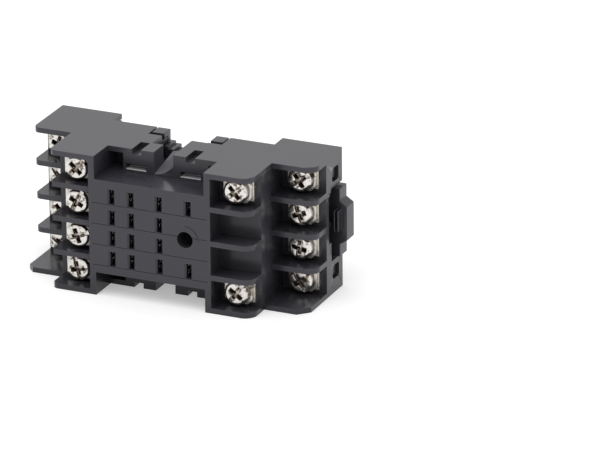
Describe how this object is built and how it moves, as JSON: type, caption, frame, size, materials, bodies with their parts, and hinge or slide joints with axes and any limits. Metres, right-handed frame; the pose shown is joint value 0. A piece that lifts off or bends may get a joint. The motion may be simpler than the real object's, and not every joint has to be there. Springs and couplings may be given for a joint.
{
  "type": "relay socket",
  "caption": "Screw-terminal socket for a plug-in relay that snaps on a top-hat rail, with stepped rows of terminals at both ends of a slotted relay face.",
  "frame": {"origin": "centre of the seat that lies on the rail, in the plane of the rail's face", "axes": "+X along the length towards the latch's pull tab, -Y out of the relay face, +Y into the rail, +Z across the poles; it rests on the long side at -Z"},
  "size_m": [0.0639, 0.0237, 0.0296],
  "materials": {
    "housing_plastic": "fine satin moulding, near black",
    "cover_plastic": "fine satin moulding, near black",
    "latch_plastic": "fine satin moulding, near black",
    "contact_plate": "nickel-plated brass sheet",
    "clamp_steel": "nickel-plated steel",
    "screw_steel": "bright nickel-plated steel"
  },
  "bodies": {
    "socket": {"housing": "housing_plastic", "rear_cover": "cover_plastic", "contact_left_front_1": "contact_plate", "contact_left_front_2": "contact_plate", "contact_left_front_3": "contact_plate", "contact_left_front_4": "contact_plate", "contact_left_back_1": "contact_plate", "contact_left_back_2": "contact_plate", "contact_left_back_3": "contact_plate", "contact_left_back_4": "contact_plate", "contact_right_front_1": "contact_plate", "contact_right_front_4": "contact_plate", "contact_right_back_1": "contact_plate", "contact_right_back_2": "contact_plate", "contact_right_back_3": "contact_plate", "contact_right_back_4": "contact_plate"},
    "latch": {"rail_latch": "latch_plastic"},
    "clamp_left_front_1": {"clamp_plate_left_front_1": "clamp_steel"},
    "screw_left_front_1": {"screw_left_front_1": "screw_steel"},
    "clamp_left_front_2": {"clamp_plate_left_front_2": "clamp_steel"},
    "screw_left_front_2": {"screw_left_front_2": "screw_steel"},
    "clamp_left_front_3": {"clamp_plate_left_front_3": "clamp_steel"},
    "screw_left_front_3": {"screw_left_front_3": "screw_steel"},
    "clamp_left_front_4": {"clamp_plate_left_front_4": "clamp_steel"},
    "screw_left_front_4": {"screw_left_front_4": "screw_steel"},
    "clamp_left_back_1": {"clamp_plate_left_back_1": "clamp_steel"},
    "screw_left_back_1": {"screw_left_back_1": "screw_steel"},
    "clamp_left_back_2": {"clamp_plate_left_back_2": "clamp_steel"},
    "screw_left_back_2": {"screw_left_back_2": "screw_steel"},
    "clamp_left_back_3": {"clamp_plate_left_back_3": "clamp_steel"},
    "screw_left_back_3": {"screw_left_back_3": "screw_steel"},
    "clamp_left_back_4": {"clamp_plate_left_back_4": "clamp_steel"},
    "screw_left_back_4": {"screw_left_back_4": "screw_steel"},
    "clamp_right_front_1": {"clamp_plate_right_front_1": "clamp_steel"},
    "screw_right_front_1": {"screw_right_front_1": "screw_steel"},
    "clamp_right_front_4": {"clamp_plate_right_front_4": "clamp_steel"},
    "screw_right_front_4": {"screw_right_front_4": "screw_steel"},
    "clamp_right_back_1": {"clamp_plate_right_back_1": "clamp_steel"},
    "screw_right_back_1": {"screw_right_back_1": "screw_steel"},
    "clamp_right_back_2": {"clamp_plate_right_back_2": "clamp_steel"},
    "screw_right_back_2": {"screw_right_back_2": "screw_steel"},
    "clamp_right_back_3": {"clamp_plate_right_back_3": "clamp_steel"},
    "screw_right_back_3": {"screw_right_back_3": "screw_steel"},
    "clamp_right_back_4": {"clamp_plate_right_back_4": "clamp_steel"},
    "screw_right_back_4": {"screw_right_back_4": "screw_steel"}
  },
  "joints": [
    {"name": "rail_latch_pull", "type": "slide", "parent": "socket", "child": "latch", "axis": [1, 0, 0], "range_m": [0, 0.0016], "stiffness_N_per_m": 1500, "springref_m": -0.0004},
    {"name": "clamp_lift_left_front_1", "type": "slide", "parent": "socket", "child": "clamp_left_front_1", "axis": [0, -1, 0], "range_m": [0, 0.002]},
    {"name": "screw_turn_left_front_1", "type": "hinge", "parent": "clamp_left_front_1", "child": "screw_left_front_1", "pos_m": [-0.0176, -0.01785, 0.0107], "axis": [0, -1, 0], "range_deg": [0, 1440]},
    {"name": "clamp_lift_left_front_2", "type": "slide", "parent": "socket", "child": "clamp_left_front_2", "axis": [0, -1, 0], "range_m": [0, 0.002]},
    {"name": "screw_turn_left_front_2", "type": "hinge", "parent": "clamp_left_front_2", "child": "screw_left_front_2", "pos_m": [-0.0176, -0.01785, 0.0036], "axis": [0, -1, 0], "range_deg": [0, 1440]},
    {"name": "clamp_lift_left_front_3", "type": "slide", "parent": "socket", "child": "clamp_left_front_3", "axis": [0, -1, 0], "range_m": [0, 0.002]},
    {"name": "screw_turn_left_front_3", "type": "hinge", "parent": "clamp_left_front_3", "child": "screw_left_front_3", "pos_m": [-0.0176, -0.01785, -0.0036], "axis": [0, -1, 0], "range_deg": [0, 1440]},
    {"name": "clamp_lift_left_front_4", "type": "slide", "parent": "socket", "child": "clamp_left_front_4", "axis": [0, -1, 0], "range_m": [0, 0.002]},
    {"name": "screw_turn_left_front_4", "type": "hinge", "parent": "clamp_left_front_4", "child": "screw_left_front_4", "pos_m": [-0.0176, -0.01785, -0.0107], "axis": [0, -1, 0], "range_deg": [0, 1440]},
    {"name": "clamp_lift_left_back_1", "type": "slide", "parent": "socket", "child": "clamp_left_back_1", "axis": [0, -1, 0], "range_m": [0, 0.002]},
    {"name": "screw_turn_left_back_1", "type": "hinge", "parent": "clamp_left_back_1", "child": "screw_left_back_1", "pos_m": [-0.0266, -0.0069, 0.0107], "axis": [0, -1, 0], "range_deg": [0, 1440]},
    {"name": "clamp_lift_left_back_2", "type": "slide", "parent": "socket", "child": "clamp_left_back_2", "axis": [0, -1, 0], "range_m": [0, 0.002]},
    {"name": "screw_turn_left_back_2", "type": "hinge", "parent": "clamp_left_back_2", "child": "screw_left_back_2", "pos_m": [-0.0266, -0.0069, 0.0036], "axis": [0, -1, 0], "range_deg": [0, 1440]},
    {"name": "clamp_lift_left_back_3", "type": "slide", "parent": "socket", "child": "clamp_left_back_3", "axis": [0, -1, 0], "range_m": [0, 0.002]},
    {"name": "screw_turn_left_back_3", "type": "hinge", "parent": "clamp_left_back_3", "child": "screw_left_back_3", "pos_m": [-0.0266, -0.0069, -0.0036], "axis": [0, -1, 0], "range_deg": [0, 1440]},
    {"name": "clamp_lift_left_back_4", "type": "slide", "parent": "socket", "child": "clamp_left_back_4", "axis": [0, -1, 0], "range_m": [0, 0.002]},
    {"name": "screw_turn_left_back_4", "type": "hinge", "parent": "clamp_left_back_4", "child": "screw_left_back_4", "pos_m": [-0.0266, -0.0069, -0.0107], "axis": [0, -1, 0], "range_deg": [0, 1440]},
    {"name": "clamp_lift_right_front_1", "type": "slide", "parent": "socket", "child": "clamp_right_front_1", "axis": [0, -1, 0], "range_m": [0, 0.002]},
    {"name": "screw_turn_right_front_1", "type": "hinge", "parent": "clamp_right_front_1", "child": "screw_right_front_1", "pos_m": [0.0169, -0.01785, 0.0107], "axis": [0, -1, 0], "range_deg": [0, 1440]},
    {"name": "clamp_lift_right_front_4", "type": "slide", "parent": "socket", "child": "clamp_right_front_4", "axis": [0, -1, 0], "range_m": [0, 0.002]},
    {"name": "screw_turn_right_front_4", "type": "hinge", "parent": "clamp_right_front_4", "child": "screw_right_front_4", "pos_m": [0.0169, -0.01785, -0.0107], "axis": [0, -1, 0], "range_deg": [0, 1440]},
    {"name": "clamp_lift_right_back_1", "type": "slide", "parent": "socket", "child": "clamp_right_back_1", "axis": [0, -1, 0], "range_m": [0, 0.002]},
    {"name": "screw_turn_right_back_1", "type": "hinge", "parent": "clamp_right_back_1", "child": "screw_right_back_1", "pos_m": [0.02585, -0.0069, 0.0107], "axis": [0, -1, 0], "range_deg": [0, 1440]},
    {"name": "clamp_lift_right_back_2", "type": "slide", "parent": "socket", "child": "clamp_right_back_2", "axis": [0, -1, 0], "range_m": [0, 0.002]},
    {"name": "screw_turn_right_back_2", "type": "hinge", "parent": "clamp_right_back_2", "child": "screw_right_back_2", "pos_m": [0.02585, -0.0069, 0.0036], "axis": [0, -1, 0], "range_deg": [0, 1440]},
    {"name": "clamp_lift_right_back_3", "type": "slide", "parent": "socket", "child": "clamp_right_back_3", "axis": [0, -1, 0], "range_m": [0, 0.002]},
    {"name": "screw_turn_right_back_3", "type": "hinge", "parent": "clamp_right_back_3", "child": "screw_right_back_3", "pos_m": [0.02585, -0.0069, -0.0036], "axis": [0, -1, 0], "range_deg": [0, 1440]},
    {"name": "clamp_lift_right_back_4", "type": "slide", "parent": "socket", "child": "clamp_right_back_4", "axis": [0, -1, 0], "range_m": [0, 0.002]},
    {"name": "screw_turn_right_back_4", "type": "hinge", "parent": "clamp_right_back_4", "child": "screw_right_back_4", "pos_m": [0.02585, -0.0069, -0.0107], "axis": [0, -1, 0], "range_deg": [0, 1440]}
  ],
  "couplings": [
    {"joint": "screw_turn_left_front_1", "follows": "clamp_lift_left_front_1", "rad_per_m": 12566},
    {"joint": "screw_turn_left_front_2", "follows": "clamp_lift_left_front_2", "rad_per_m": 12566},
    {"joint": "screw_turn_left_front_3", "follows": "clamp_lift_left_front_3", "rad_per_m": 12566},
    {"joint": "screw_turn_left_front_4", "follows": "clamp_lift_left_front_4", "rad_per_m": 12566},
    {"joint": "screw_turn_left_back_1", "follows": "clamp_lift_left_back_1", "rad_per_m": 12566},
    {"joint": "screw_turn_left_back_2", "follows": "clamp_lift_left_back_2", "rad_per_m": 12566},
    {"joint": "screw_turn_left_back_3", "follows": "clamp_lift_left_back_3", "rad_per_m": 12566},
    {"joint": "screw_turn_left_back_4", "follows": "clamp_lift_left_back_4", "rad_per_m": 12566},
    {"joint": "screw_turn_right_front_1", "follows": "clamp_lift_right_front_1", "rad_per_m": 12566},
    {"joint": "screw_turn_right_front_4", "follows": "clamp_lift_right_front_4", "rad_per_m": 12566},
    {"joint": "screw_turn_right_back_1", "follows": "clamp_lift_right_back_1", "rad_per_m": 12566},
    {"joint": "screw_turn_right_back_2", "follows": "clamp_lift_right_back_2", "rad_per_m": 12566},
    {"joint": "screw_turn_right_back_3", "follows": "clamp_lift_right_back_3", "rad_per_m": 12566},
    {"joint": "screw_turn_right_back_4", "follows": "clamp_lift_right_back_4", "rad_per_m": 12566}
  ]
}
